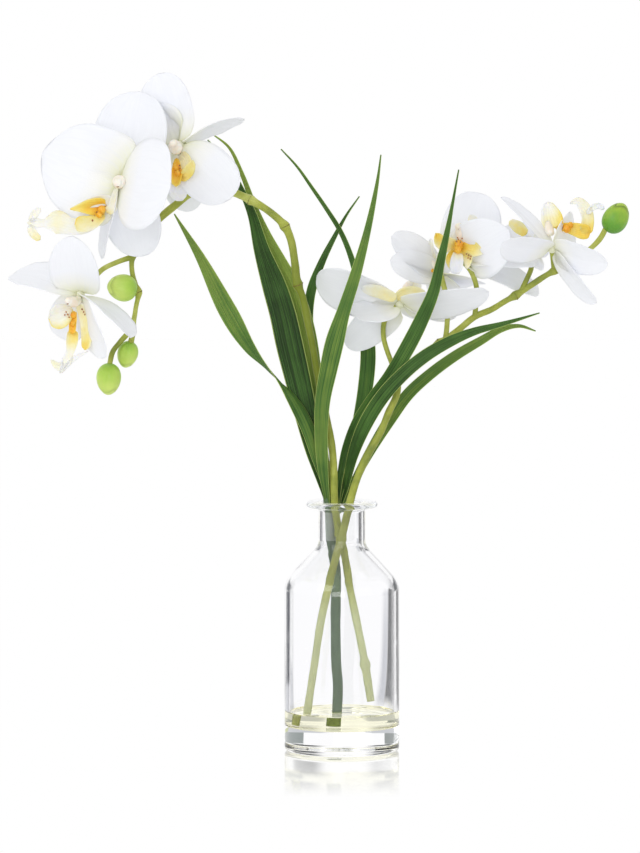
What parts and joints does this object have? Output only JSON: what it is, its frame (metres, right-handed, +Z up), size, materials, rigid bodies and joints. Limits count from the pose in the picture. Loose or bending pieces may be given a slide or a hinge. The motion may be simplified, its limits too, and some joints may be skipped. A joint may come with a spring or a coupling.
{
  "type": "orchid in vase",
  "caption": "Clear glass bottle vase holding two arching sprays of white moth orchid blooms with yellow lips, green buds and long strap leaves.",
  "frame": {"origin": "centre of the vase's flat underside", "axes": "+Z up along the vase's axis, -Y towards the front, +X towards the right spray"},
  "size_m": [0.3853, 0.1221, 0.4241],
  "materials": {
    "vase_glass": "clear",
    "set_liquid": "clear",
    "flower_stem": "satin",
    "leaf": "satin",
    "petal": "soft matte",
    "lip": "satin",
    "bud": "satin"
  },
  "bodies": {
    "root": {"vase": "vase_glass", "liquid": "set_liquid", "left_spray_stem": "flower_stem", "right_spray_stem": "flower_stem", "leaf_tuft": "leaf", "left_bloom_1_petals": "petal", "left_bloom_1_lip": "lip", "left_bloom_2_petals": "petal", "left_bloom_2_lip": "lip", "left_bloom_3_petals": "petal", "left_bloom_3_lip": "lip", "right_bloom_1_petals": "petal", "right_bloom_1_lip": "lip", "right_bloom_2_petals": "petal", "right_bloom_2_lip": "lip", "right_bloom_3_petals": "petal", "right_bloom_3_lip": "lip", "right_bloom_4_petals": "petal", "right_bloom_4_lip": "lip", "right_bloom_5_petals": "petal", "left_bud_1": "bud", "left_bud_2": "bud", "left_bud_3": "bud", "right_bud_1": "bud"}
  },
  "joints": []
}
